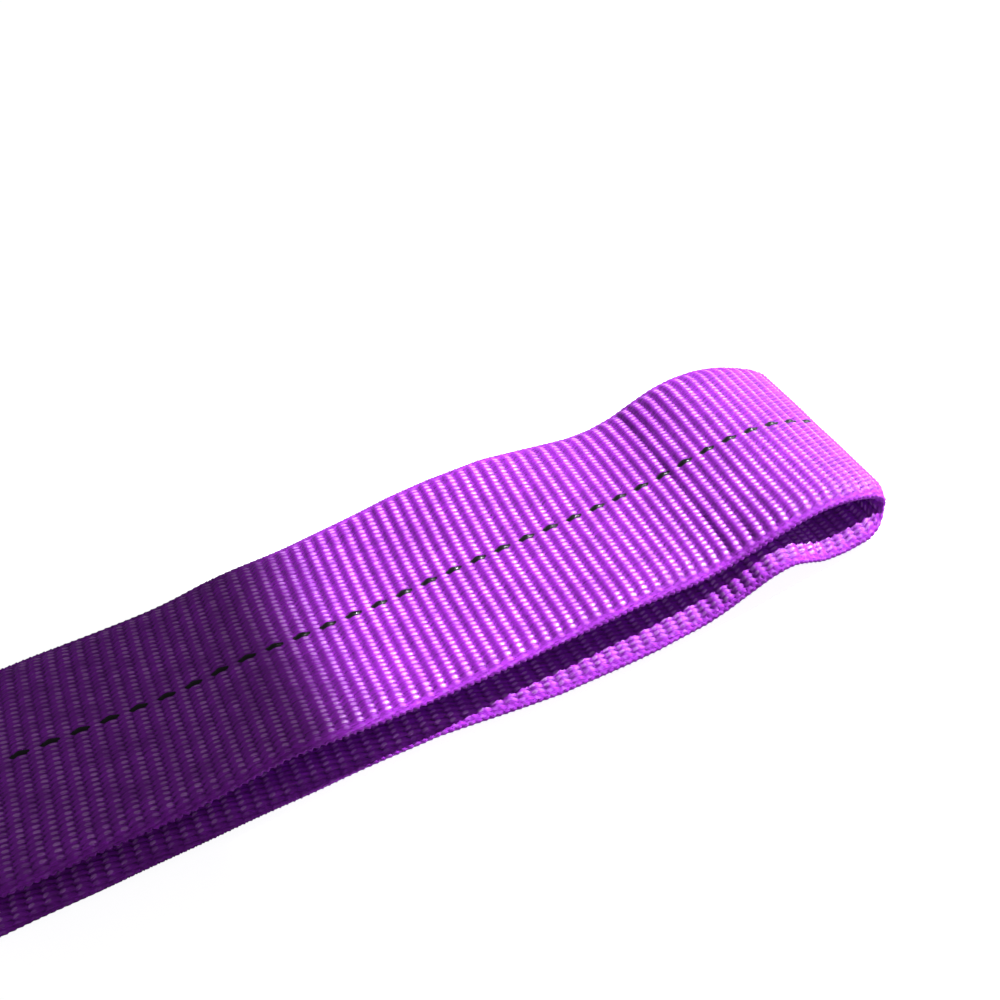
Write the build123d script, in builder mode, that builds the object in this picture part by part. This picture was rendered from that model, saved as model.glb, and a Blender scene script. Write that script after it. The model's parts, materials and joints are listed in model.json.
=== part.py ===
from build123d import *
from math import asin, cos, degrees, radians, tan
import os

os.makedirs("parts", exist_ok=True)

# A flat web sling with a soft eye at each end, lying flat with its plies one on the other.
# +X runs along the sling towards eye A, +Y across the web, +Z up. The origin is on the resting
# plane under the middle of the sling. All sizes are in millimetres.

# Web
web_width = 30.0
ply = 2.6
selvedge_round = 0.7

# Lengths along the sling
effective_length = 1000.0  # between the bearing points inside the two crowns
eye_length = 250.0
throat_length = 60.0
mid_panel_length = 220.0
lap_inset = 10.0  # from the left bend line to the lapped end
lap_length = 105.0

# Eyes
crown_inner_radius = 2.5
eye_gap = 0.3  # between the two plies of a closed eye
crown_top_length = 9.0
ramp_length = 16.0
ramp_bend_radius = 12.0

# Motion
panel_bend = 90.0
eye_opening = 40.0
clearance = 0.3

# Sewing
thread = 0.9
thread_height = 0.45
groove_width = 1.2
groove_depth = 0.5
stitch_length = 3.4
stitch_pitch = 4.6
edge_margin = 4.0
inner_row = 5.5
row_end_margin = 3.0

# Label
label_width = 24.0
label_inset = 7.0  # from the label's free end to the right bend line
label_corner = 3.0
label_thickness = 0.6
cover_thickness = 0.2
cover_margin = 2.0
tab_length = 12.0
tab_margin = 3.0
label_hinge_gap = 1.0

# Places along the sling, measured from its middle
bend_line = mid_panel_length / 2
throat_end = effective_length / 2 - eye_length
neck = throat_end - throat_length
eye_middle = throat_end + eye_length / 2
crown_centre_x = effective_length / 2 - crown_inner_radius
ramp_end = crown_centre_x - crown_top_length
ramp_start = ramp_end - ramp_length
lap_start = lap_inset - bend_line
lap_end = lap_start + lap_length
tab_start = lap_end + tab_margin
tab_end = tab_start + tab_length
label_hinge = tab_end + label_hinge_gap
label_start = label_hinge + label_hinge_gap
label_length = bend_line - label_inset - label_start

# Heights: the middle of each ply, and the tops that other pieces lie on
lower_ply = ply / 2
upper_ply = ply * 1.5
lap_ply = ply * 2.5
double_top = ply * 2
lap_top = ply * 3
eye_upper_ply = upper_ply + eye_gap
crown_centre_z = crown_inner_radius + ply
crown_radius = crown_inner_radius + ply / 2
label_bottom = double_top + clearance

# The web flexes at bend lines. Each lies in a gap between rounded ends, wide enough for them
# to stay one clearance apart at the end of the motion.
half_bend = radians(panel_bend / 2)
double_gap = ply / 2 * tan(half_bend) + (ply + clearance) / (2 * cos(half_bend))
single_gap = (ply + clearance) / (2 * cos(radians(eye_opening)))

# The crown flexes at the height midway between the two legs of its eye, so that the eye stays
# closed at the throat as it opens.
crown_hinge_z = (eye_upper_ply + lower_ply) / 2
crown_hinge_angle = -degrees(asin((crown_centre_z - crown_hinge_z) / crown_radius))
crown_gap_angle = degrees(2 * asin(single_gap / (2 * crown_radius)))

seam_row = web_width / 2 - edge_margin


def row_along(start, end, y):
    """A row of stitches along the sling, as its two ends."""
    return (start + row_end_margin, y), (end - row_end_margin, y)


def row_across(x):
    """A row of stitches across the web, between the outer seams."""
    return (x, -seam_row), (x, seam_row)


def seam_rows(start, end):
    """The two seams near the edges of the web."""
    return [row_along(start, end, y) for y in (-seam_row, seam_row)]


def block_rows(start, end):
    """A load-bearing block: four rows along the web, closed by one across at each end."""
    rows = [row_along(start, end, y) for y in (-seam_row, -inner_row, inner_row, seam_row)]
    return rows + [row_across(start + row_end_margin), row_across(end - row_end_margin)]


def places_on(row, count):
    """Evenly spaced places on a row, each turned to run along it."""
    start = Vector(*row[0])
    run = Vector(*row[1]) - start
    turn = (0, 0, run.get_angle(Vector(1, 0, 0)))
    return [Location(start + run * ((i + 0.5) / count), turn) for i in range(count)]


def row_length(row):
    return (Vector(*row[1]) - Vector(*row[0])).length


def groove_outline(rows, height):
    """The grooves that the thread pulls into the web, one along each row."""
    with BuildSketch(Plane.XY.offset(height)) as outline:
        for row in rows:
            with Locations(places_on(row, 1)):
                Rectangle(row_length(row) + stitch_pitch, groove_width)
    return outline.sketch


def stitch_outline(rows, height):
    """The visible stitches along each row."""
    with BuildSketch(Plane.XY.offset(height)) as outline:
        for row in rows:
            count = max(1, int(row_length(row) // stitch_pitch))
            with Locations(places_on(row, count)):
                SlotOverall(stitch_length, thread)
    return outline.sketch


def export(builder, name):
    builder.part.label = name
    export_step(builder.part, f"parts/{name}.step")


def flat_length(name, start, end, middle, top_rows=(), bottom_rows=()):
    """A straight length of web between two bend lines, with grooves where it is sewn.

    start and end are the middles of its rounded ends, and middle is its ply's height."""
    with BuildPart() as length:
        with BuildSketch(Plane.XZ):
            with Locations(((start + end) / 2, middle)):
                SlotCenterToCenter(end - start, ply)
        extrude(amount=web_width / 2, both=True)
        fillet(length.faces().filter_by(Axis.Y).edges(), selvedge_round)
        if top_rows:
            grooves = groove_outline(top_rows, middle + ply / 2)
            extrude(grooves, amount=-groove_depth, mode=Mode.SUBTRACT)
        if bottom_rows:
            grooves = groove_outline(bottom_rows, middle - ply / 2)
            extrude(grooves, amount=groove_depth, mode=Mode.SUBTRACT)
    export(length, name)


def stitching(name, top_rows, top, bottom_rows):
    """The stitches of one seam, in the grooves of the sling's top and underside."""
    with BuildPart() as stitches:
        extrude(stitch_outline(top_rows, top - groove_depth), amount=thread_height)
        extrude(stitch_outline(bottom_rows, groove_depth), amount=-thread_height)
    export(stitches, name)


# Mid panel: two plies, and the lapped end of the web sewn on top of them
mid_end = bend_line - double_gap
lap_rows = block_rows(lap_start, lap_end)
mid_rows = seam_rows(lap_end, mid_end)
flat_length("web_mid_top", -mid_end, mid_end, upper_ply, top_rows=mid_rows)
flat_length("web_mid_bottom", -mid_end, mid_end, lower_ply, bottom_rows=mid_rows + lap_rows)
flat_length("web_lap_tail", lap_start, lap_end, lap_ply, top_rows=lap_rows)
stitching("seam_stitching_mid", mid_rows, double_top, mid_rows)
stitching("lap_stitching", lap_rows, lap_top, lap_rows)

# Right and left panels, between the mid panel and the throats
for side, direction in (("right", 1), ("left", -1)):
    panel_start, panel_end = sorted((
        direction * (bend_line + double_gap),
        direction * (neck - double_gap),
    ))
    rows = seam_rows(panel_start, panel_end)
    flat_length(f"web_{side}_top", panel_start, panel_end, upper_ply, top_rows=rows)
    flat_length(f"web_{side}_bottom", panel_start, panel_end, lower_ply, bottom_rows=rows)
    stitching(f"seam_stitching_{side}", rows, double_top, rows)

# Throats: the sewn blocks that close the eyes
for eye, direction in (("a", 1), ("b", -1)):
    throat_start, throat_stop = sorted((
        direction * (neck + double_gap),
        direction * (throat_end - single_gap),
    ))
    rows = block_rows(throat_start, throat_stop)
    flat_length(f"web_throat_{eye}_top", throat_start, throat_stop, upper_ply, top_rows=rows)
    flat_length(f"web_throat_{eye}_bottom", throat_start, throat_stop, lower_ply, bottom_rows=rows)
    stitching(f"throat_stitching_{eye}", rows, double_top, rows)

# Eyes: each is one loop of web, flexing at the throat, at the middle of each leg and at the crown
for eye, direction in (("a", 1), ("b", -1)):
    for leg, middle in (("upper", eye_upper_ply), ("lower", lower_ply)):
        leg_start, leg_end = sorted((
            direction * (throat_end + single_gap),
            direction * (eye_middle - single_gap),
        ))
        flat_length(f"web_eye_{eye}_{leg}_leg", leg_start, leg_end, middle)

    with BuildPart() as upper_crown:
        with BuildSketch(Plane.XZ):
            with BuildLine() as rise:
                crown_top = (crown_centre_x, crown_centre_z + crown_radius)
                FilletPolyline(
                    (eye_middle + single_gap, eye_upper_ply),
                    (ramp_start, eye_upper_ply),
                    (ramp_end, crown_top[1]),
                    crown_top,
                    radius=ramp_bend_radius,
                )
                upper_end = crown_hinge_angle + crown_gap_angle
                CenterArc((crown_centre_x, crown_centre_z), crown_radius, 90, upper_end - 90)
            SlotArc(rise.wire(), ply)
        extrude(amount=web_width / 2, both=True)
        if direction < 0:
            mirror(about=Plane.YZ, mode=Mode.REPLACE)
    export(upper_crown, f"web_eye_{eye}_upper_crown")

    with BuildPart() as lower_crown:
        with BuildSketch(Plane.XZ):
            with BuildLine() as turn:
                lower_start = crown_hinge_angle - crown_gap_angle
                CenterArc(
                    (crown_centre_x, crown_centre_z), crown_radius, lower_start, -90 - lower_start
                )
                Line((crown_centre_x, lower_ply), (eye_middle + single_gap, lower_ply))
            SlotArc(turn.wire(), ply)
        extrude(amount=web_width / 2, both=True)
        if direction < 0:
            mirror(about=Plane.YZ, mode=Mode.REPLACE)
    export(lower_crown, f"web_eye_{eye}_lower_crown")

# Identification label: a tab sewn to the web beside the lap, and a flap that folds up from it
with BuildPart() as label_tab:
    with BuildSketch(Plane.XY.offset(double_top)):
        with Locations(((tab_start + tab_end) / 2, 0)):
            Rectangle(tab_length, label_width)
    extrude(amount=label_thickness)
export(label_tab, "label_tab")

tack_rows = [
    ((x, -label_width / 2 + tab_margin), (x, label_width / 2 - tab_margin))
    for x in (tab_start + tab_margin, tab_end - tab_margin)
]
with BuildPart() as label_stitching:
    tacks = stitch_outline(tack_rows, double_top + label_thickness)
    extrude(tacks, amount=thread_height)
export(label_stitching, "label_stitching")

with BuildPart() as label:
    with BuildSketch(Plane.XY.offset(label_bottom)) as flap:
        with Locations((label_start + label_length / 2, 0)):
            Rectangle(label_length, label_width)
        fillet(flap.vertices().group_by(Axis.X)[-1], label_corner)
    extrude(amount=label_thickness)
export(label, "label")

with BuildPart() as label_cover:
    with BuildSketch(Plane.XY.offset(label_bottom + label_thickness)):
        with Locations((label_start + label_length / 2, 0)):
            RectangleRounded(
                label_length - 2 * cover_margin, label_width - 2 * cover_margin, cover_margin
            )
    extrude(amount=cover_thickness)
export(label_cover, "label_cover")
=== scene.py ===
import json
import math

import bmesh
import bpy
import numpy as np
from mathutils import Matrix, Vector


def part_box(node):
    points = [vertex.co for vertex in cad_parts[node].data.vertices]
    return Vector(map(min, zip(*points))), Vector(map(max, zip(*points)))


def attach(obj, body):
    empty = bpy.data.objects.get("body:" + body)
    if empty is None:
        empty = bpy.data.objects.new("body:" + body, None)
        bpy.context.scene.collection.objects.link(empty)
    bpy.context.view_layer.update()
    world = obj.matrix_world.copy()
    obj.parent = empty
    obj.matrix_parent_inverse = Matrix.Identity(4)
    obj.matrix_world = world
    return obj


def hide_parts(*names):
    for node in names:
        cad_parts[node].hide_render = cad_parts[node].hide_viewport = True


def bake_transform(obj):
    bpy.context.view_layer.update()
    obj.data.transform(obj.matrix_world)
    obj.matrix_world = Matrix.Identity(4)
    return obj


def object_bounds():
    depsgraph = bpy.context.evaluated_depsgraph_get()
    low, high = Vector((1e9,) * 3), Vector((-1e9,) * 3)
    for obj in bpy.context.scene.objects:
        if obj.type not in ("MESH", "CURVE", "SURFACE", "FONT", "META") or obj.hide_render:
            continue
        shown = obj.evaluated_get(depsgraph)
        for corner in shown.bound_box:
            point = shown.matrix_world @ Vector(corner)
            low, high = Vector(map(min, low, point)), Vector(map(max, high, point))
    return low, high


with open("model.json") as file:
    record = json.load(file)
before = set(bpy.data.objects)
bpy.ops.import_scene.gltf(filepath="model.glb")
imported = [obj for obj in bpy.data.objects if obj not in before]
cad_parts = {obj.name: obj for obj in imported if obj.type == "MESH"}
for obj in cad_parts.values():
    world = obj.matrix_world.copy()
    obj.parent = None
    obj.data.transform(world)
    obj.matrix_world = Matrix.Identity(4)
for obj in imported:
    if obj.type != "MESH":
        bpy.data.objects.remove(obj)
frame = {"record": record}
CAD_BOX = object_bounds()

bl_info = {
    "name": "Flat Web Sling",
    "version": (1, 0, 0),
    "blender": (4, 5, 0),
    "location": "View3D > Sidebar > Sling",
    "description": "Weaves, lays and sews a flat web sling around its packed frame",
    "category": "Add Mesh",
}

MM = 0.001

# Places that come from the frame, in metres
WEB_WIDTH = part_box("web_mid_top")[1].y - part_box("web_mid_top")[0].y
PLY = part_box("web_mid_bottom")[1].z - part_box("web_mid_bottom")[0].z
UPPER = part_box("web_mid_top")[0].z + PLY / 2
LOWER = PLY / 2
TIP = CAD_BOX[1].x
JOINTS = {joint["name"]: joint for joint in frame["record"]["behaviour"]["joints"]}
BEND = JOINTS["bend_right"]["pos_m"][0]
NECK = JOINTS["neck_a"]["pos_m"][0]
THROAT = JOINTS["eye_a_open"]["pos_m"][0]
EYE_MIDDLE = JOINTS["eye_a_upper_flex"]["pos_m"][0]
LABEL_HINGE = JOINTS["label_flip"]["pos_m"][0]


# ---------------------------------------------------------------- settings


class SlingWebSettings(bpy.types.PropertyGroup):
    """The weave of the web and its colours."""

    rib_pitch: bpy.props.FloatProperty(
        name="Rib Pitch", description="Distance from one cross rib to the next",
        default=1.65 * MM, subtype="DISTANCE", unit="LENGTH")
    floats: bpy.props.IntProperty(
        name="Floats", description="Number of yarn floats side by side on one rib",
        default=44, min=4)
    rib_depth: bpy.props.FloatProperty(
        name="Rib Depth", description="Height of a rib's crest over the groove beside it",
        default=0.62 * MM, subtype="DISTANCE", unit="LENGTH")
    edge_thickness: bpy.props.FloatProperty(
        name="Edge Thickness", description="Thickness of the thinner selvedge",
        default=1.0 * MM, subtype="DISTANCE", unit="LENGTH")
    yarn_colour: bpy.props.FloatVectorProperty(
        name="Yarn Colour", description="Colour of the dyed yarn where it is lit",
        default=(0.335, 0.02, 0.57), subtype="COLOR", size=3)
    # Painted shade: the darker colour laid into the grooves between ribs and the gaps between
    # floats
    groove_shade_colour: bpy.props.FloatVectorProperty(
        name="Groove Colour", description="Colour of the yarn deep between the ribs",
        default=(0.12, 0.003, 0.21), subtype="COLOR", size=3)
    # Painted highlight: pale pink laid into the base colour on each float's flank, where the key
    # light would catch it
    painted_glint_colour: bpy.props.FloatVectorProperty(
        name="Gleam Colour", description="Colour of the filaments where a float turns down",
        default=(0.74, 0.36, 0.86), subtype="COLOR", size=3)
    tracer_colour: bpy.props.FloatVectorProperty(
        name="Tracer Colour", description="Colour of the stripe yarn woven along the middle",
        default=(0.006, 0.006, 0.008), subtype="COLOR", size=3)


class SlingSewingSettings(bpy.types.PropertyGroup):
    """The thread and how it is sewn."""

    stitch_pitch: bpy.props.FloatProperty(
        name="Stitch Pitch", description="Distance from one stitch to the next",
        default=4.6 * MM, subtype="DISTANCE", unit="LENGTH")
    stitch_length: bpy.props.FloatProperty(
        name="Stitch Length", description="Length of thread that shows in each stitch",
        default=3.7 * MM, subtype="DISTANCE", unit="LENGTH")
    thread: bpy.props.FloatProperty(
        name="Thread", description="Thickness of the thread",
        default=0.9 * MM, subtype="DISTANCE", unit="LENGTH")
    thread_colour: bpy.props.FloatVectorProperty(
        name="Thread Colour", description="Colour of the sewing thread",
        default=(0.30, 0.025, 0.52), subtype="COLOR", size=3)


class SlingLabelSettings(bpy.types.PropertyGroup):
    """The blank identification label."""

    label_colour: bpy.props.FloatVectorProperty(
        name="Label Colour", description="Colour of the woven label",
        default=(0.02, 0.09, 0.36), subtype="COLOR", size=3)


class SlingStageSettings(bpy.types.PropertyGroup):
    """The floor, the lights and the camera."""

    aim: bpy.props.FloatVectorProperty(
        name="Aim", description="Point that the camera looks at",
        default=(0.4574, 0.0079, 0.0080), subtype="TRANSLATION", unit="LENGTH", size=3)
    distance: bpy.props.FloatProperty(
        name="Distance", description="Distance from the camera to its aim",
        default=0.1364, subtype="DISTANCE", unit="LENGTH")
    azimuth: bpy.props.FloatProperty(
        name="Azimuth", description="Turn of the camera round the sling",
        default=math.radians(-20.06), subtype="ANGLE", unit="ROTATION")
    elevation: bpy.props.FloatProperty(
        name="Elevation", description="Height of the camera over the horizon",
        default=math.radians(46.84), subtype="ANGLE", unit="ROTATION")
    roll: bpy.props.FloatProperty(
        name="Roll", description="Turn of the camera about its own line of sight",
        default=math.radians(-7.69), subtype="ANGLE", unit="ROTATION")
    lens: bpy.props.FloatProperty(
        name="Lens", description="Focal length on a 36 mm sensor",
        default=38.3, subtype="DISTANCE_CAMERA", unit="CAMERA")
    key_power: bpy.props.FloatProperty(
        name="Key Power", description="Power of the key light, which shines on the crown",
        default=140.0, subtype="POWER", unit="POWER")
    key_cone: bpy.props.FloatProperty(
        name="Key Cone", description="Spread of the key light, whose edge leaves the body darker",
        default=math.radians(38.0), subtype="ANGLE", unit="ROTATION")
    body_power: bpy.props.FloatProperty(
        name="Body Power", description="Power of the light over the sewn body",
        default=75.0, subtype="POWER", unit="POWER")
    fill_power: bpy.props.FloatProperty(
        name="Fill Power", description="Power of the soft light beside the camera",
        default=0.8, subtype="POWER", unit="POWER")
    floor_colour: bpy.props.FloatVectorProperty(
        name="Floor Colour", description="Colour of the pale floor",
        default=(0.5, 0.5, 0.503), subtype="COLOR", size=3)


SETTINGS = {
    "sling_web": SlingWebSettings,
    "sling_sewing": SlingSewingSettings,
    "sling_label": SlingLabelSettings,
    "sling_stage": SlingStageSettings,
}


# ---------------------------------------------------------------- node helpers


def new_group(name, inputs, outputs):
    """An empty shader node group with its sockets, and its input and output nodes."""
    group = bpy.data.node_groups.new(name, "ShaderNodeTree")
    for label, kind in inputs:
        group.interface.new_socket(label, in_out="INPUT", socket_type=kind)
    for label, kind in outputs:
        group.interface.new_socket(label, in_out="OUTPUT", socket_type=kind)
    return group, group.nodes.new("NodeGroupInput"), group.nodes.new("NodeGroupOutput")


def add_node(tree, kind, **values):
    """A node with its properties set and its input sockets given a value or a link."""
    node = tree.nodes.new(kind)
    inputs = values.pop("inputs", {})
    for key, value in values.items():
        setattr(node, key, value)
    for key, value in inputs.items():
        if isinstance(value, bpy.types.NodeSocket):
            tree.links.new(value, node.inputs[key])
        else:
            node.inputs[key].default_value = value
    return node


def maths(tree, operation, first, second=0.5, third=0.5):
    node = add_node(tree, "ShaderNodeMath", operation=operation,
                    inputs={0: first, 1: second, 2: third})
    return node.outputs[0]


def mix_colours(tree, factor, first, second, blend="MIX"):
    node = add_node(tree, "ShaderNodeMix", data_type="RGBA", blend_type=blend,
                    inputs={0: factor, 6: first, 7: second})
    return node.outputs[2]


def remap(tree, value, low, high, to_low=0.0, to_high=1.0):
    node = add_node(tree, "ShaderNodeMapRange", interpolation_type="SMOOTHSTEP",
                    inputs={"Value": value, "From Min": low, "From Max": high,
                            "To Min": to_low, "To Max": to_high})
    return node.outputs["Result"]


def new_material(name):
    """A material with only a Principled shader and its output."""
    material = bpy.data.materials.new(name)
    material.use_nodes = True
    tree = material.node_tree
    tree.nodes.clear()
    shader = tree.nodes.new("ShaderNodeBsdfPrincipled")
    output = tree.nodes.new("ShaderNodeOutputMaterial")
    tree.links.new(shader.outputs["BSDF"], output.inputs["Surface"])
    return material, tree, shader


# ---------------------------------------------------------------- the lay of the web

# The upper leg of an eye, from the throat to the crown: distance back from the crown's tip, then
# the height of the ply's middle on the web's middle line, at its far edge and at its near edge.
# It bows over the lower leg, rests on it just behind the crown and humps up over the crown.
UPPER_LEG = [
    (252, 3.9, 3.9, 3.9), (236, 4.4, 4.3, 4.4), (205, 5.7, 5.5, 5.7), (165, 7.0, 6.4, 7.0),
    (130, 7.5, 6.4, 7.3), (107, 7.3, 6.3, 7.1), (91, 6.5, 6.0, 7.1), (81, 7.2, 7.1, 8.5),
    (72, 6.8, 7.4, 7.5), (65, 6.7, 8.0, 6.9), (58, 6.9, 8.9, 6.8), (52, 7.1, 9.2, 6.6),
    (45, 7.2, 8.9, 6.8), (38.5, 7.2, 7.7, 6.9), (32, 7.1, 6.2, 6.2), (28.5, 7.3, 6.0, 5.9),
    (25, 7.7, 6.6, 6.2), (21.8, 8.3, 7.7, 6.9), (18.5, 8.7, 8.7, 7.7), (15.3, 8.9, 9.1, 8.2),
    (12, 8.6, 8.8, 8.3), (9, 8.0, 7.9, 7.9), (6, 6.9, 6.6, 7.0), (3.1, 5.5, 5.1, 5.7),
]
# Then its middle round the crown, and the lower leg back to the throat. The lower leg lies on
# the ground, but for a wave just behind the crown.
CROWN = [(1.7, 4.3), (1.3, 3.3), (1.8, 2.2), (3.2, 1.5)]
LOWER_LEG = [
    (6, 1.3), (9.5, 1.4), (12.5, 1.9), (15, 3.2), (17.5, 4.3), (20.5, 4.2), (24, 3.1), (28.5, 1.8),
    (34, 1.35), (60, 1.3), (125, 1.3), (251.5, 1.3),
]
# Sideways shift of each leg, by distance back from the tip
UPPER_SWAY = [(1.3, 1.0), (6, 0.9), (15, 0.5), (40, 0.0)]
LOWER_SWAY = [
    (1.3, 1.0), (2.0, 0.2), (3.2, -0.7), (5, -1.4), (9, -1.8), (15, -2.0), (28, -2.6), (37, -3.0),
    (50, -2.8), (58, -1.8), (65, -0.9), (76, -0.6), (120, -0.4), (220, 0.0),
]
# Where a float of the tracer shows: distance back from the tip
TRACER_FLOAT = 2.9
LAYS = {}


class Lay:
    """The line along the middle of a ply, by its distance along the web."""

    def __init__(self, points, flip=1, eye=False):
        """points are (x, z) in metres, joined by a smooth curve from near the middle of the
        sling outwards. flip is -1 for the left half. eye says that the web goes round an eye."""
        self.flip, self.eye = flip, eye
        held = np.array([points[0], *points, points[-1]], float)
        held[0] = 2 * held[1] - held[2]
        held[-1] = 2 * held[-2] - held[-3]
        t = np.linspace(0, 1, 24, endpoint=False)[:, None]
        runs = []
        for i in range(1, len(held) - 2):
            a, b, c, d = held[i - 1:i + 3]
            runs.append(0.5 * (2 * b + (c - a) * t + (2 * a - 5 * b + 4 * c - d) * t ** 2
                               + (3 * b - a - 3 * c + d) * t ** 3))
        self.line = np.vstack([*runs, held[-2:-1]])
        steps = np.hypot(*np.diff(self.line, axis=0).T)
        self.along = points[0][0] + np.concatenate([[0], np.cumsum(steps)])
        self.tip = self.along[np.argmax(self.line[:, 0])]

    def at(self, along):
        """Middle of the ply at each distance, and the unit tangent there, unflipped."""
        def place(distance, axis):
            return np.interp(distance, self.along, self.line[:, axis])

        step = 0.4 * MM
        along = np.clip(along, self.along[0], self.along[-1])
        dx = place(along + step, 0) - place(along - step, 0)
        dz = place(along + step, 1) - place(along - step, 1)
        length = np.hypot(dx, dz)
        return place(along, 0), place(along, 1), dx / length, dz / length

    def where(self, x, returning=False):
        """The distance along the web at which it passes x, on its way out or on its way back."""
        on_way = (self.along >= self.tip) == returning
        along, xs = self.along[on_way], self.line[on_way, 0]
        return float(np.interp(x, xs[::-1], along[::-1]) if returning else np.interp(x, xs, along))

    def crumple(self, along, x, across):
        """How far the web lies off its middle line, sideways and upwards."""
        if not self.eye:
            return 0.0, 0.0
        back = (TIP - x) / MM
        returning = along > self.tip
        table = np.array(UPPER_LEG[::-1])
        far = np.interp(back, table[:, 0], table[:, 2] - table[:, 1]) * MM
        near = np.interp(back, table[:, 0], table[:, 3] - table[:, 1]) * MM
        v = across / (WEB_WIDTH / 2)
        fade = np.where(returning, 0, np.clip((back - 1.3) / 1.8, 0, 1))
        lift = ((far - near) / 2 * v + (far + near) / 2 * v * v) * fade
        out = np.array(UPPER_SWAY)
        home = np.array(LOWER_SWAY)
        shift = np.where(returning, np.interp(back, home[:, 0], home[:, 1]),
                         np.interp(back, out[:, 0], out[:, 1])) * MM
        return shift, lift


def make_lays():
    """Both plies of both halves, and the lapped end. Distances start at the sling's middle."""
    straight = [(x * MM, UPPER) for x in (-4, 40, 80, 120, 160, 200, 225, 242)]
    round_eye = [(TIP - row[0] * MM, row[1] * MM) for row in (*UPPER_LEG, *CROWN, *LOWER_LEG)]
    for half, flip in (("a", 1), ("b", -1)):
        LAYS["upper_" + half] = Lay([*straight, *round_eye], flip, eye=True)
        LAYS["lower_" + half] = Lay([(x * MM, LOWER) for x in (-4, 60, 120, 180, 249.9)], flip)
    low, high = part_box("web_lap_tail")
    middle = (low.z + high.z) / 2
    lap = [(-high.x, middle), (-(low.x + high.x) / 2, middle), (-low.x, middle)]
    LAYS["lap"] = Lay(lap, -1)


def first_groove():
    """The groove nearest the sling's middle, in step with the tracer float near eye A's tip."""
    upper = LAYS["upper_a"]
    pair = 2 * bpy.context.scene.sling_web.rib_pitch
    return math.fmod(upper.where(TIP - TRACER_FLOAT * MM) - pair / 4, pair)


def groove(distance):
    """The groove between two ribs that is nearest to a distance along the web."""
    pitch = bpy.context.scene.sling_web.rib_pitch
    return first_groove() + round((distance - first_groove()) / pitch) * pitch


# ---------------------------------------------------------------- weaving

STAGGER = 0.5  # shift of the floats on every second rib, in floats
SLANT = 0.22  # shift of a float from one rib to the next, in floats


def float_relief(rib, yarn):
    """Relief of the woven face, from 0 in the grooves to 1 on the crests.

    rib and yarn count ribs along the web and floats across it. On every rib the warp yarns pass
    over in short floats, set half a float aside from those on the next rib. The floats merge on
    the crest and part at their ends, where they mesh with the next rib's."""
    relief = np.zeros(np.broadcast(rib, yarn).shape)
    nearest = np.round(rib)
    for step in (-1, 0, 1):
        k = nearest + step
        u = rib - k
        v = yarn - np.mod(k, 2) * STAGGER - SLANT * u
        v = v - np.round(v)
        lengthwise = np.cos(np.clip(u * math.pi / 1.28, -math.pi / 2, math.pi / 2))
        notch = np.clip(0.3 + 2.4 * u * u, 0, 0.9)
        relief = np.maximum(relief, lengthwise ** 0.8 * (1 - notch * (2 * v) ** 2))
    return relief


def section(top_columns, bottom_columns):
    """The web's outline across its width: places, heights and outward normals.

    The columns are the numbers of strips on each face. The web thins towards its edges, which
    are round."""
    thick = PLY / 2
    thin = bpy.context.scene.sling_web.edge_thickness / 2
    half = WEB_WIDTH / 2 - thin
    turn = np.linspace(math.pi / 2, -math.pi / 2, 7)[1:-1]

    def face(columns):
        across = np.linspace(-half, half, columns + 1)
        inside = np.clip((half - np.abs(across)) / (2.4 * MM), 0, 1)
        return across, thin + (thick - thin) * np.sin(inside * math.pi / 2)

    top, top_height = face(top_columns)
    bottom, bottom_height = face(bottom_columns)
    across = np.concatenate([top, half + thin * np.cos(turn), bottom[::-1],
                             -half - thin * np.cos(turn)])
    height = np.concatenate([top_height, thin * np.sin(turn), -bottom_height[::-1],
                             -thin * np.sin(turn)])
    normal_y = np.concatenate([0 * top, np.cos(turn), 0 * bottom, -np.cos(turn)])
    normal_z = np.concatenate([0 * top + 1, np.sin(turn), 0 * bottom - 1, -np.sin(turn)])
    return across, height, normal_y, normal_z


def tube_mesh(name, rings, sides):
    """A closed tube with its rings evenly spaced, to be laid along the web."""
    bm = bmesh.new()
    bmesh.ops.create_cone(bm, cap_ends=True, segments=sides, radius1=1, radius2=1, depth=2)
    upright = [e for e in bm.edges if abs(e.verts[0].co.z - e.verts[1].co.z) > 1]
    bmesh.ops.subdivide_edges(bm, edges=upright, cuts=rings - 1, use_grid_fill=True)
    mesh = bpy.data.meshes.new(name)
    bm.to_mesh(mesh)
    bm.free()
    return mesh


def new_object(name, mesh, material):
    """An object in the scene, smooth and with its faces outward."""
    bm = bmesh.new()
    bm.from_mesh(mesh)
    if bm.calc_volume(signed=True) < 0:
        bmesh.ops.reverse_faces(bm, faces=bm.faces[:])
        bm.to_mesh(mesh)
    bm.free()
    mesh.polygons.foreach_set("use_smooth", [True] * len(mesh.polygons))
    mesh.materials.append(material)
    mesh.update()
    obj = bpy.data.objects.new(name, mesh)
    bpy.context.scene.collection.objects.link(obj)
    return obj


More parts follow.
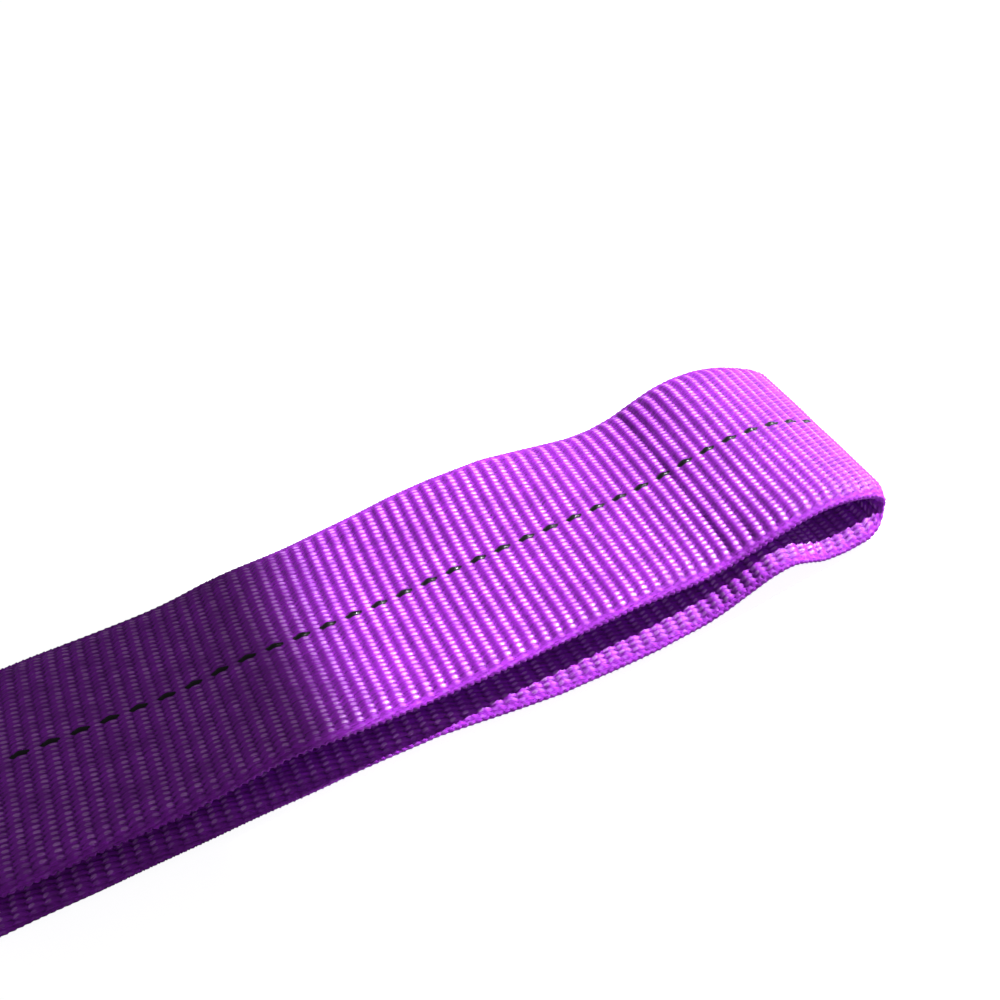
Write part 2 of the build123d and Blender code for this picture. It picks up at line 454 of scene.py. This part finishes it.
def woven_place(lay, along, side, outline, rows, sewn_until):
    """Where the woven surface lies at each distance along the web and place on its outline, and
    the rib, yarn and relief there."""
    web = bpy.context.scene.sling_web
    v, h, ny, nz = (values[side % len(values)] for values in outline)
    half = WEB_WIDTH / 2
    drift = 0.10 * np.sin(v * 190 + along * 31) + 0.07 * np.sin(along * 57 + v * 70 + 1.3)
    rib = (along + drift * MM - first_groove()) / web.rib_pitch + 0.5 + (nz < 0)
    yarn = v / (2 * half - web.edge_thickness) * web.floats
    relief = float_relief(rib, yarn)
    selvedge = np.clip((np.abs(v) - (half - 1.0 * MM)) / (0.3 * MM), 0, 1)
    loops = 0.5 + 0.5 * np.cos(rib * 4 * math.pi + np.sign(v) * 0.8) * np.cos(
        (half - np.abs(v)) / (0.5 * MM) * math.pi + nz)
    relief = relief * (1 - selvedge) + (0.35 + 0.65 * loops) * selvedge
    height = (relief - 1) * web.rib_depth * (1 - 0.2 * selvedge)
    uneven = np.sin(along * 410 + 3 * np.sin(v * 160)) * np.sin(v * 260 + along * 90)
    height += 0.05 * MM * uneven
    for row in rows:
        dent = np.exp(-((np.abs(v) - row) / (0.8 * MM)) ** 2)
        height -= 0.32 * MM * dent * (along < sewn_until) * (np.abs(nz) > 0.9)

    x, z, tx, tz = lay.at(along)
    shift, lift = lay.crumple(along, x, v)
    out = h + nz * height
    place = np.stack([lay.flip * (x - tz * out), v + ny * height + shift, z + tx * out + lift], 1)
    return place, np.stack([rib, yarn, relief], 1)


def weave_piece(name, lay, start, end, columns=(2, 2), rows=(), sewn_until=0.0):
    """One length of web, woven along its lay from start to end.

    columns are the strips to each yarn on the top and on the underside. The stitch rows in rows
    dent both faces up to the distance sewn_until."""
    web = bpy.context.scene.sling_web
    rings = max(8, round((end - start) / web.rib_pitch * (6 if max(columns) > 2 else 4)))
    outline = section(*(round(web.floats * n) for n in columns))
    sides = len(outline[0])
    mesh = tube_mesh(name, rings, sides)
    co = np.empty(len(mesh.vertices) * 3, np.float32)
    mesh.vertices.foreach_get("co", co)
    co = co.reshape(-1, 3)
    ring = np.round((co[:, 2] + 1) / 2 * rings)
    turn = np.arctan2(co[:, 1], co[:, 0]) / (2 * math.pi)
    side = np.round(turn * sides).astype(int) % sides
    along = start + (end - start) * ring / rings
    shape = (outline, rows, sewn_until)
    place, weave = woven_place(lay, along, side, *shape)
    mesh.vertices.foreach_set("co", place.astype(np.float32).ravel())
    attribute = mesh.attributes.new("weave", "FLOAT_VECTOR", "POINT")
    attribute.data.foreach_set("vector", weave.astype(np.float32).ravel())
    piece = new_object(name, mesh, web_material())

    # The surface runs on unbroken into the next piece, so its ends are shaded as one with it
    ends = np.flatnonzero((ring == 0) | (ring == rings))
    step = (end - start) / rings
    lengthwise = (woven_place(lay, along[ends] + step, side[ends], *shape)[0]
                  - woven_place(lay, along[ends] - step, side[ends], *shape)[0])
    round_it = (woven_place(lay, along[ends], side[ends] + 1, *shape)[0]
                - woven_place(lay, along[ends], side[ends] - 1, *shape)[0])
    normals = np.zeros((len(co), 3))
    normals[ends] = np.cross(lengthwise, round_it)
    tx, tz = lay.at(along[ends])[2:]
    nz = outline[3][side[ends]]
    outward = np.stack([-lay.flip * tz * nz, outline[2][side[ends]], tx * nz], 1)
    if (normals[ends] * outward).sum() < 0:
        normals[ends] *= -1
    normals[ends] /= np.linalg.norm(normals[ends], axis=1)[:, None]
    mesh.normals_split_custom_set_from_vertices(normals)
    return piece


# ---------------------------------------------------------------- materials


def fibre_group():
    """Fine streaks of filament along each yarn, with a value for colour and one for bump."""
    if "Yarn Fibres" in bpy.data.node_groups:
        return bpy.data.node_groups["Yarn Fibres"]
    group, source, result = new_group(
        "Yarn Fibres",
        [("Vector", "NodeSocketVector"), ("Along", "NodeSocketFloat"),
         ("Across", "NodeSocketFloat")],
        [("Streak", "NodeSocketFloat"), ("Blotch", "NodeSocketFloat")])
    stretch = add_node(group, "ShaderNodeCombineXYZ", inputs={
        0: source.outputs["Along"], 1: source.outputs["Across"], 2: 1.0})
    scaled = add_node(group, "ShaderNodeVectorMath", operation="MULTIPLY", inputs={
        0: source.outputs["Vector"], 1: stretch.outputs[0]})
    streak = add_node(group, "ShaderNodeTexNoise", inputs={
        "Vector": scaled.outputs[0], "Scale": 1.0, "Detail": 2.0, "Roughness": 0.55})
    blotch = add_node(group, "ShaderNodeTexNoise", inputs={
        "Vector": source.outputs["Vector"], "Scale": 0.35, "Detail": 2.0})
    group.links.new(streak.outputs["Fac"], result.inputs["Streak"])
    group.links.new(blotch.outputs["Fac"], result.inputs["Blotch"])
    return group


def float_group():
    """The floats of yarn over each rib: where a highlight is painted on them, where they dip beside
    each other.
    """
    if "Yarn Floats" in bpy.data.node_groups:
        return bpy.data.node_groups["Yarn Floats"]
    group, source, result = new_group(
        "Yarn Floats",
        [("Rib", "NodeSocketFloat"), ("Yarn", "NodeSocketFloat")],
        [("Painted Glint", "NodeSocketFloat"), ("Gap", "NodeSocketFloat")])
    rib, yarn = source.outputs["Rib"], source.outputs["Yarn"]
    nearest = maths(group, "ROUND", rib)
    u = maths(group, "SUBTRACT", rib, nearest)
    stagger = maths(group, "MULTIPLY", maths(group, "FLOORED_MODULO", nearest, 2.0), STAGGER)
    slant = maths(group, "MULTIPLY", u, SLANT)
    v = maths(group, "SUBTRACT", maths(group, "SUBTRACT", yarn, stagger), slant)
    v = maths(group, "SUBTRACT", v, maths(group, "ROUND", v))
    along = maths(group, "DIVIDE", maths(group, "SUBTRACT", u, 0.2), 0.24)
    across = maths(group, "DIVIDE", v, 0.30)
    oval = maths(group, "ADD", maths(group, "POWER", maths(group, "ABSOLUTE", along), 2.0),
                 maths(group, "POWER", maths(group, "ABSOLUTE", across), 2.0))
    # Painted highlight mask: an oval on each float's flank, just past the middle of its rib
    painted_glint = remap(group, oval, 0.35, 1.2, 1.0, 0.0)
    beside = remap(group, maths(group, "ABSOLUTE", v), 0.32, 0.5)
    deep = remap(group, maths(group, "ABSOLUTE", u), 0.05, 0.45, 0.25, 1.0)
    group.links.new(painted_glint, result.inputs["Painted Glint"])
    group.links.new(maths(group, "MULTIPLY", beside, deep), result.inputs["Gap"])
    return group


def web_material():
    """Violet polyester yarn with a black tracer float on every second rib."""
    if "violet_webbing" in bpy.data.materials:
        return bpy.data.materials["violet_webbing"]
    web = bpy.context.scene.sling_web
    material, tree, shader = new_material("violet_webbing")
    weave = add_node(tree, "ShaderNodeAttribute", attribute_name="weave")
    parts = add_node(tree, "ShaderNodeSeparateXYZ", inputs={0: weave.outputs["Vector"]})
    rib, yarn, relief = parts.outputs
    fibres = add_node(tree, "ShaderNodeGroup", node_tree=fibre_group(), inputs={
        "Vector": weave.outputs["Vector"], "Along": 1.4, "Across": 9.0})
    stray = maths(tree, "MULTIPLY", maths(tree, "SUBTRACT", fibres.outputs["Streak"], 0.5), 0.7)
    floats = add_node(tree, "ShaderNodeGroup", node_tree=float_group(), inputs={
        "Rib": rib, "Yarn": maths(tree, "ADD", yarn, stray)})
    crest = remap(tree, relief, 0.1, 0.6)
    # Painted shade: the base colour darkens towards the groove shade colour in the grooves and,
    # partly, in the gaps between floats
    unshaded_share = maths(tree, "SUBTRACT", crest, maths(tree, "MULTIPLY", floats.outputs["Gap"], 0.45))
    colour = mix_colours(tree, unshaded_share, (*web.groove_shade_colour, 1), (*web.yarn_colour, 1))
    selvedge = remap(tree, maths(tree, "ABSOLUTE", yarn), web.floats / 2 - 1.2,
                     web.floats / 2 - 0.4, 1.0, 0.25)
    # Painted highlight: the base colour turns pale pink on each float's lit flank, less at the
    # selvedge, and the roughness drops there too
    glint = remap(tree, fibres.outputs["Blotch"], 0.3, 0.6, 0.35, 1.0)
    painted_glint = maths(tree, "MULTIPLY", maths(tree, "MULTIPLY", floats.outputs["Painted Glint"], glint),
                  selvedge)
    colour = mix_colours(tree, maths(tree, "MULTIPLY", painted_glint, 0.6), colour,
                         (*web.painted_glint_colour, 1))
    lighter = remap(tree, fibres.outputs["Streak"], 0.35, 0.75, 0.78, 1.3)
    blotched = maths(tree, "MULTIPLY", lighter,
                     remap(tree, fibres.outputs["Blotch"], 0.3, 0.7, 0.9, 1.1))
    colour = mix_colours(tree, 1.0, colour,
                         add_node(tree, "ShaderNodeCombineColor", inputs={
                             0: blotched, 1: blotched, 2: blotched}).outputs[0], "MULTIPLY")
    # The tracer is one of the yarns nearest the middle, and floats over every second rib
    pair = maths(tree, "MULTIPLY", maths(tree, "SUBTRACT", rib, 1.0), 0.5)
    from_float = maths(tree, "SUBTRACT", pair, maths(tree, "ROUND", pair))
    length = maths(tree, "POWER", maths(tree, "DIVIDE", maths(tree, "MULTIPLY", from_float, 2.0),
                                        0.68), 2.0)
    from_yarn = maths(tree, "SUBTRACT", yarn, 0.5)
    width = maths(tree, "POWER", maths(tree, "DIVIDE", from_yarn, 0.56), 2.0)
    oval = maths(tree, "ADD", length, width)
    tracer = remap(tree, oval, 0.85, 1.1, 1.0, 0.0)
    colour = mix_colours(tree, tracer, colour, (*web.tracer_colour, 1))
    tree.links.new(colour, shader.inputs["Base Color"])
    dull = remap(tree, selvedge, 0.25, 1.0, 0.8, 0.52)
    rough = maths(tree, "SUBTRACT", dull, maths(tree, "MULTIPLY", painted_glint, 0.24))
    rough = maths(tree, "SUBTRACT", rough, maths(tree, "MULTIPLY", tracer, 0.08))
    tree.links.new(rough, shader.inputs["Roughness"])
    grain = maths(tree, "MULTIPLY", fibres.outputs["Streak"], 0.35)
    height = maths(tree, "SUBTRACT", grain, floats.outputs["Gap"])
    bump = add_node(tree, "ShaderNodeBump", inputs={
        "Strength": 0.7, "Distance": 0.00011, "Height": height})
    tree.links.new(bump.outputs["Normal"], shader.inputs["Normal"])
    shader.inputs["Specular IOR Level"].default_value = 0.32
    shader.inputs["Sheen Weight"].default_value = 0.05
    shader.inputs["Sheen Roughness"].default_value = 0.35
    shader.inputs["Sheen Tint"].default_value = (1.0, 0.72, 0.98, 1)
    return material


def thread_material():
    """Twisted sewing thread of the web's colour, painted darker in the grooves of its twist."""
    if "violet_thread" in bpy.data.materials:
        return bpy.data.materials["violet_thread"]
    sewing = bpy.context.scene.sling_sewing
    material, tree, shader = new_material("violet_thread")
    place = add_node(tree, "ShaderNodeTexCoord")
    fibres = add_node(tree, "ShaderNodeGroup", node_tree=fibre_group(), inputs={
        "Vector": place.outputs["Object"], "Along": 2500.0, "Across": 2500.0})
    twist = add_node(tree, "ShaderNodeTexWave", bands_direction="DIAGONAL", inputs={
        "Vector": place.outputs["Object"], "Scale": 900.0, "Distortion": 1.0})
    # Painted shade: the thread's colour darkens where the twist's bump is low
    painted_shade_colour = tuple(0.45 * c for c in sewing.thread_colour)
    colour = mix_colours(tree, twist.outputs["Fac"], (*painted_shade_colour, 1), (*sewing.thread_colour, 1))
    tree.links.new(colour, shader.inputs["Base Color"])
    bump = add_node(tree, "ShaderNodeBump", inputs={
        "Strength": 0.5, "Distance": 0.00008, "Height": twist.outputs["Fac"]})
    tree.links.new(bump.outputs["Normal"], shader.inputs["Normal"])
    rough = remap(tree, fibres.outputs["Streak"], 0.2, 0.8, 0.4, 0.6)
    tree.links.new(rough, shader.inputs["Roughness"])
    return material


def label_material():
    """Blue satin label, blank but for a pale border woven round it."""
    label = bpy.context.scene.sling_label
    material, tree, shader = new_material("blue_label")
    low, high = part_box("label")
    place = add_node(tree, "ShaderNodeTexCoord")
    x, y, _ = add_node(tree, "ShaderNodeSeparateXYZ", inputs={0: place.outputs["Object"]}).outputs
    from_sides = maths(tree, "SUBTRACT", high.y, maths(tree, "ABSOLUTE", y))
    from_ends = maths(tree, "MINIMUM", maths(tree, "SUBTRACT", x, low.x + 2 * MM),
                      maths(tree, "SUBTRACT", high.x, x))
    inside = maths(tree, "MINIMUM", from_sides, from_ends)
    line = maths(tree, "ABSOLUTE", maths(tree, "SUBTRACT", inside, 2.6 * MM))
    border = remap(tree, line, 0.25 * MM, 0.4 * MM, 1.0, 0.0)
    weft = add_node(tree, "ShaderNodeTexWave", bands_direction="X", inputs={
        "Vector": place.outputs["Object"], "Scale": 700.0, "Distortion": 0.4})
    warp = add_node(tree, "ShaderNodeTexWave", bands_direction="Y", inputs={
        "Vector": place.outputs["Object"], "Scale": 900.0, "Distortion": 0.4})
    threads = maths(tree, "MULTIPLY", weft.outputs["Fac"], warp.outputs["Fac"])
    # Painted shade: the cloth darkens where its woven threads dip, following the bump
    painted_shade_colour = tuple(0.6 * c for c in label.label_colour)
    cloth = mix_colours(tree, threads, (*painted_shade_colour, 1), (*label.label_colour, 1))
    colour = mix_colours(tree, border, cloth, (0.7, 0.74, 0.8, 1))
    tree.links.new(colour, shader.inputs["Base Color"])
    bump = add_node(tree, "ShaderNodeBump", inputs={
        "Strength": 0.3, "Distance": 0.00005, "Height": threads})
    tree.links.new(bump.outputs["Normal"], shader.inputs["Normal"])
    shader.inputs["Roughness"].default_value = 0.5
    return material


FLOOR_GLOW = 1.86  # emission at which the floor looks evenly white


def film_material():
    """Clear cover, faintly cloudy and scuffed."""
    material, tree, shader = new_material("clear_film")
    place = add_node(tree, "ShaderNodeTexCoord")
    scuffs = add_node(tree, "ShaderNodeTexNoise", inputs={
        "Vector": place.outputs["Object"], "Scale": 180.0, "Detail": 3.0})
    rough = remap(tree, scuffs.outputs["Fac"], 0.35, 0.7, 0.08, 0.3)
    tree.links.new(rough, shader.inputs["Roughness"])
    shader.inputs["Base Color"].default_value = (0.95, 0.97, 1.0, 1)
    shader.inputs["Alpha"].default_value = 0.12
    return material


def floor_material():
    stage = bpy.context.scene.sling_stage
    material, tree, shader = new_material("pale_floor")
    place = add_node(tree, "ShaderNodeTexCoord")
    noise = add_node(tree, "ShaderNodeTexNoise", inputs={
        "Vector": place.outputs["Object"], "Scale": 30.0, "Detail": 3.0})
    level = remap(tree, noise.outputs["Fac"], 0.3, 0.7, 0.985, 1.0)
    colour = mix_colours(tree, 1.0, (*stage.floor_colour, 1),
                         add_node(tree, "ShaderNodeCombineColor", inputs={
                             0: level, 1: level, 2: level}).outputs[0], "MULTIPLY")
    tree.links.new(colour, shader.inputs["Base Color"])
    # The floor looks evenly white, but throws little of it back on the sling
    seen = tree.nodes.new("ShaderNodeLightPath").outputs["Is Camera Ray"]
    glow = mix_colours(tree, seen, (0, 0, 0, 1), colour)
    tree.links.new(glow, shader.inputs["Emission Color"])
    shader.inputs["Emission Strength"].default_value = FLOOR_GLOW
    shader.inputs["Roughness"].default_value = 0.7
    shader.inputs["Specular IOR Level"].default_value = 0.2
    return material


# ---------------------------------------------------------------- pieces of web

SEAM = WEB_WIDTH / 2 - 4 * MM
INNER_ROW = SEAM / 2
LEG_CUT = 15 * MM  # how far before the middle of an eye its legs are cut
HUMP_CUT = 9.2 * MM  # how far behind the tip the upper leg becomes the crown
CROWN_CUT = 7 * MM  # how far behind the tip the crown becomes the lower leg
HIDDEN = 1 / 3  # strips to each yarn on a face that lies on another


def declare_web(nodes):
    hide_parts(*nodes)


def bend_at(piece):
    """The piece keeps its place, baked into its mesh."""
    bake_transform(piece)


def weave_half(half, flip, side):
    """All of the web on one side of the middle of the sling."""
    upper, lower = LAYS["upper_" + half], LAYS["lower_" + half]
    eye, node = f"eye_{half}_", f"web_eye_{half}_"
    start = first_groove() * flip
    panel_cut, throat_cut = groove((BEND + NECK) / 2), groove((NECK + THROAT) / 2)
    leg_cut = groove(upper.where(EYE_MIDDLE - LEG_CUT))
    crown_cut = groove(upper.where((EYE_MIDDLE + TIP) / 2))
    hump_cut = groove(upper.where(TIP - HUMP_CUT))
    crown_end = groove(upper.where(TIP - CROWN_CUT, returning=True))
    back_cut = groove(upper.where((EYE_MIDDLE + TIP) / 2, returning=True))
    tail_cut = groove(upper.where(EYE_MIDDLE - LEG_CUT, returning=True))
    upper_end, lower_end = upper.along[-1], lower.along[-1]
    sewn = THROAT - 2 * MM
    seams = {"rows": (SEAM,), "sewn_until": sewn}
    block = {"rows": (SEAM, INNER_ROW), "sewn_until": sewn}
    fine = 3 if half == "a" else 2
    outer, inner, round_tip = (fine, 1), (1, fine), (fine, fine)

    top = weave_piece(f"web_top_{side}", upper, start, panel_cut, (2, HIDDEN), **seams)
    bend_at(top)
    declare_web(["web_mid_top", f"web_{side}_top"])

    neck = weave_piece(f"web_top_throat_{half}", upper, panel_cut, throat_cut, (2, HIDDEN), **block)
    bend_at(neck)
    declare_web([f"web_{side}_top", f"web_throat_{half}_top"])

    bottom = weave_piece(f"web_bottom_{side}", lower, start, panel_cut, (HIDDEN, 2), **seams)
    bend_at(bottom)
    declare_web(["web_mid_bottom", f"web_{side}_bottom"])

    under = weave_piece(f"web_bottom_throat_{half}", lower, panel_cut, lower_end, (HIDDEN, 2),
                        **block)
    bend_at(under)
    declare_web([f"web_{side}_bottom", f"web_throat_{half}_bottom"])

    root = weave_piece(eye + "root", upper, throat_cut, leg_cut, (2, 1), **block)
    bend_at(root)
    declare_web([f"web_throat_{half}_top", node + "upper_leg"])

    leg = weave_piece(eye + "upper", upper, leg_cut, crown_cut, outer)
    bend_at(leg)
    declare_web([node + "upper_leg", node + "upper_crown"])

    hump = weave_piece(eye + "hump", upper, crown_cut, hump_cut, outer)
    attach(hump, eye + "upper_crown")
    declare_web([node + "upper_crown"])

    crown = weave_piece(eye + "crown", upper, hump_cut, crown_end, round_tip)
    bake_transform(crown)
    declare_web([node + "upper_crown", node + "lower_crown"])

    wave = weave_piece(eye + "wave", upper, crown_end, back_cut, inner)
    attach(wave, eye + "lower_crown")
    declare_web([node + "lower_crown"])

    back = weave_piece(eye + "lower", upper, back_cut, tail_cut, inner)
    bend_at(back)
    declare_web([node + "lower_crown", node + "lower_leg"])

    tail = weave_piece(eye + "lower_root", upper, tail_cut, upper_end, (1, 2))
    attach(tail, eye + "lower_leg")
    declare_web([node + "lower_leg"])


class SLING_OT_web(bpy.types.Operator):
    """Weave both halves of the web, from the middle of the sling round each eye"""

    bl_idname = "sling.web"
    bl_label = "Weave Web"

    def execute(self, context):
        make_lays()
        weave_half("a", 1, "right")
        weave_half("b", -1, "left")
        return {"FINISHED"}


class SLING_OT_lap(bpy.types.Operator):
    """Weave the lapped end of the web, which lies on the mid panel"""

    bl_idname = "sling.lap"
    bl_label = "Weave Lap"

    def execute(self, context):
        lay = LAYS["lap"]
        lap = weave_piece("web_lap", lay, lay.along[0], lay.along[-1], (2, HIDDEN),
                          (SEAM, INNER_ROW), 1.0)
        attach(lap, "mid_panel")
        declare_web(["web_lap_tail"])
        return {"FINISHED"}


# ---------------------------------------------------------------- sewing


def row_of_stitches(start, end):
    """Places and directions of the stitches of a row, as (x, y, direction)."""
    sewing = bpy.context.scene.sling_sewing
    run = Vector(end) - Vector(start)
    count = max(1, int(run.length // sewing.stitch_pitch))
    middles = [Vector(start) + run * ((i + 0.5) / count) for i in range(count)]
    return [(p.x, p.y, math.atan2(run.y, run.x)) for p in middles]


def block_of_rows(start, end):
    """A load-bearing block: four rows along the web, closed by one across at each end."""
    stitches = []
    for y in (-SEAM, -INNER_ROW, INNER_ROW, SEAM):
        stitches += row_of_stitches((start, y), (end, y))
    for x in (start, end):
        stitches += row_of_stitches((x, -SEAM), (x, SEAM))
    return stitches


def sew_piece(name, stitches, heights, nodes):
    """Rounded stitches at each place, on the faces at the given heights."""
    sewing = bpy.context.scene.sling_sewing
    wander = np.random.default_rng(len(stitches))
    bm = bmesh.new()
    for x, y, direction in stitches:
        for height in heights:
            twist, reach = wander.normal(0, (0.03, 0.03))
            place = (Matrix.Translation((x, y, height))
                     @ Matrix.Rotation(direction + twist, 4, "Z")
                     @ Matrix.Diagonal((sewing.stitch_length / 2 * (1 + reach), sewing.thread / 2,
                                        sewing.thread * 0.36, 1)))
            bmesh.ops.create_uvsphere(bm, u_segments=8, v_segments=6, radius=1,
                                      matrix=place @ Matrix.Rotation(math.pi / 2, 4, "Y"))
    mesh = bpy.data.meshes.new(name)
    bm.to_mesh(mesh)
    bm.free()
    piece = new_object(name, mesh, thread_material())
    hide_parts(*nodes)
    return piece


class SLING_OT_sewing(bpy.types.Operator):
    """Sew the seams along the body, the throat blocks and the lap"""

    bl_idname = "sling.sewing"
    bl_label = "Sew Seams"

    def execute(self, context):
        sunk, proud = 0.30 * MM, 0.12 * MM
        faces = (sunk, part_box("web_mid_top")[1].z - proud)
        lap_low, lap_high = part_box("lap_stitching")
        inset = 0.5 * MM
        panel_cut = (BEND + NECK) / 2
        start = {"a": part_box("seam_stitching_mid")[0].x, "b": -lap_low.x + 6 * MM}
        for half, flip, side in (("a", 1, "right"), ("b", -1, "left")):
            throat_low, throat_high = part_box(f"throat_stitching_{half}")
            block = sorted((abs(throat_low.x), abs(throat_high.x)))
            panel, neck = [], []
            for y in (-SEAM, SEAM):
                panel += row_of_stitches((flip * start[half], y), (flip * panel_cut, y))
                neck += row_of_stitches((flip * panel_cut, y), (flip * (block[0] + inset), y))
            neck += block_of_rows(flip * (block[0] + inset), flip * (block[1] - inset))
            seam = sew_piece(f"seam_{side}", panel, faces,
                             ["seam_stitching_mid", f"seam_stitching_{side}"])
            bend_at(seam)
            throat = sew_piece(f"seam_throat_{half}", neck, faces,
                               [f"seam_stitching_{side}", f"throat_stitching_{half}"])
            bend_at(throat)
        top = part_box("web_lap_tail")[1].z - proud
        lap = sew_piece("seam_lap", block_of_rows(lap_low.x + inset, lap_high.x - inset),
                        (sunk, top), ["lap_stitching"])
        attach(lap, "mid_panel")
        return {"FINISHED"}


# ---------------------------------------------------------------- label


def plate(name, low, high, corner, cells, material):
    """A thin plate between two corners with its free end rounded."""
    bm = bmesh.new()
    bmesh.ops.create_cube(bm, size=1)
    for vert in bm.verts:
        for axis in range(3):
            vert.co[axis] = high[axis] if vert.co[axis] > 0 else low[axis]
    middle = (low[0] + high[0]) / 2
    ends = [e for e in bm.edges
            if abs(e.verts[0].co.z - e.verts[1].co.z) > 0 and e.verts[0].co.x > middle]
    bmesh.ops.bevel(bm, geom=ends, offset=corner, segments=5, profile=0.5, affect="EDGES",
                    material=-1)
    step = (high[0] - low[0] - corner) / cells
    for i in range(1, cells + 1):
        bmesh.ops.bisect_plane(bm, geom=bm.verts[:] + bm.edges[:] + bm.faces[:],
                               plane_co=(low[0] + step * i, 0, 0), plane_no=(1, 0, 0))
    bmesh.ops.recalc_face_normals(bm, faces=bm.faces[:])
    mesh = bpy.data.meshes.new(name)
    bm.to_mesh(mesh)
    bm.free()
    piece = new_object(name, mesh, material)
    mesh.polygons.foreach_set("use_smooth", [False] * len(mesh.polygons))
    return piece


LABEL_FLEX = 3 * MM  # half of the length over which the label flexes


class SLING_OT_label(bpy.types.Operator):
    """Lay the blank label with its clear cover, and tack its tab to the web"""

    bl_idname = "sling.label"
    bl_label = "Lay Label"

    def execute(self, context):
        tab_low, tab_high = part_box("label_tab")
        low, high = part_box("label")
        raised = low.z - tab_low.z
        label = plate("identification_label", (tab_low.x, low.y, tab_low.z),
                      (high.x, high.y, tab_high.z), 3 * MM, 40, label_material())
        for vert in label.data.vertices:
            rise = min(1, max(0, (vert.co.x - (LABEL_HINGE - LABEL_FLEX)) / (5 * MM)))
            vert.co.z += raised * rise * rise * (3 - 2 * rise)
        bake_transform(label)
        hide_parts("label_tab", "label")

        low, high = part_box("label_cover")
        lift = Vector((0, 0, 0.04 * MM))
        cover = plate("label_cover_film", low + lift, high + lift, 2 * MM, 24, film_material())
        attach(cover, "label_flap")
        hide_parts("label_cover")

        low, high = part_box("label_stitching")
        inset = 0.45 * MM
        tacks = []
        for x in (low.x + inset, high.x - inset):
            tacks += row_of_stitches((x, low.y), (x, high.y))
        tack = sew_piece("label_tacks", tacks, (tab_high.z + 0.1 * MM,), ["label_stitching"])
        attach(tack, "mid_panel")
        return {"FINISHED"}


# ---------------------------------------------------------------- stage

KEY_PLACE = Vector((1.30, 0.06, 0.68))
KEY_AIM = Vector((0.85, 0.0175, 0))
BODY_PLACE = Vector((-0.12, -0.55, 0.95))
BODY_AIM = Vector((-0.075, 0, 0))
BODY_CONE = math.radians(42)
FILL_OFFSET = Vector((-0.5, -0.9, 0.9))  # from the point that the camera looks at
SKY_LIGHT = 0.17  # strength of the white world on the sling; the camera sees it at 1


class SLING_OT_stage(bpy.types.Operator):
    """Lay the pale floor and set up the lights and the camera"""

    bl_idname = "sling.stage"
    bl_label = "Set Stage"

    def lamp(self, context, light, place, aim):
        lamp = bpy.data.objects.new(light.name, light)
        lamp.location = place
        lamp.rotation_mode = "QUATERNION"
        lamp.rotation_quaternion = (aim - place).to_track_quat("-Z", "Y")
        context.scene.collection.objects.link(lamp)

    def execute(self, context):
        stage = context.scene.sling_stage
        bm = bmesh.new()
        bmesh.ops.create_grid(bm, x_segments=8, y_segments=8, size=4)
        mesh = bpy.data.meshes.new("floor")
        bm.to_mesh(mesh)
        bm.free()
        floor = new_object("floor", mesh, floor_material())

        world = bpy.data.worlds.new("studio")
        context.scene.world = world
        world.use_nodes = True
        background = world.node_tree.nodes["Background"]
        background.inputs["Color"].default_value = (1, 1, 1, 1)
        # Plain white behind the sling, but only a soft light on it
        seen = add_node(world.node_tree, "ShaderNodeLightPath").outputs["Is Camera Ray"]
        level = remap(world.node_tree, seen, 0.0, 1.0, SKY_LIGHT, 1.0)
        world.node_tree.links.new(level, background.inputs["Strength"])
        target = Vector(stage.aim)
        key = bpy.data.lights.new("key", "SPOT")
        key.energy = stage.key_power
        key.spot_size = stage.key_cone
        key.spot_blend = 0.04
        key.shadow_soft_size = 0.003
        self.lamp(context, key, KEY_PLACE, KEY_AIM)
        body = bpy.data.lights.new("body", "SPOT")
        body.energy = stage.body_power
        body.spot_size = BODY_CONE
        body.spot_blend = 0.1
        body.shadow_soft_size = 0.05
        self.lamp(context, body, BODY_PLACE, BODY_AIM)
        fill = bpy.data.lights.new("fill", "AREA")
        fill.size = 0.8
        fill.energy = stage.fill_power
        self.lamp(context, fill, target + FILL_OFFSET, target)

        camera_data = bpy.data.cameras.new("camera")
        camera_data.sensor_width = 36
        camera_data.lens = stage.lens
        camera_data.clip_start = 0.001
        camera_data.clip_end = 50
        camera = bpy.data.objects.new("camera", camera_data)
        turn = (Matrix.Rotation(stage.azimuth, 4, "Z")
                @ Matrix.Rotation(math.pi / 2 - stage.elevation, 4, "X")
                @ Matrix.Rotation(stage.roll, 4, "Z"))
        back = turn @ Vector((0, 0, 1))
        camera.matrix_world = Matrix.Translation(target + back * stage.distance) @ turn
        context.scene.collection.objects.link(camera)
        context.scene.camera = camera
        context.scene.view_settings.view_transform = "Standard"
        return {"FINISHED"}


class SLING_PT_panel(bpy.types.Panel):
    """Lists what builds the sling, in order"""

    bl_label = "Flat Web Sling"
    bl_idname = "SLING_PT_panel"
    bl_space_type = "VIEW_3D"
    bl_region_type = "UI"
    bl_category = "Sling"

    def draw(self, context):
        for operator in OPERATORS:
            self.layout.operator(operator.bl_idname)


OPERATORS = (SLING_OT_web, SLING_OT_lap, SLING_OT_sewing, SLING_OT_label, SLING_OT_stage)
CLASSES = (*SETTINGS.values(), *OPERATORS, SLING_PT_panel)


def register():
    for cls in CLASSES:
        bpy.utils.register_class(cls)
    for name, cls in SETTINGS.items():
        setattr(bpy.types.Scene, name, bpy.props.PointerProperty(type=cls))


def unregister():
    for name in SETTINGS:
        delattr(bpy.types.Scene, name)
    for cls in reversed(CLASSES):
        bpy.utils.unregister_class(cls)


def main():
    register()
    bpy.ops.sling.web()
    bpy.ops.sling.lap()
    bpy.ops.sling.sewing()
    bpy.ops.sling.label()
    bpy.ops.sling.stage()


if __name__ == "__main__":
    main()
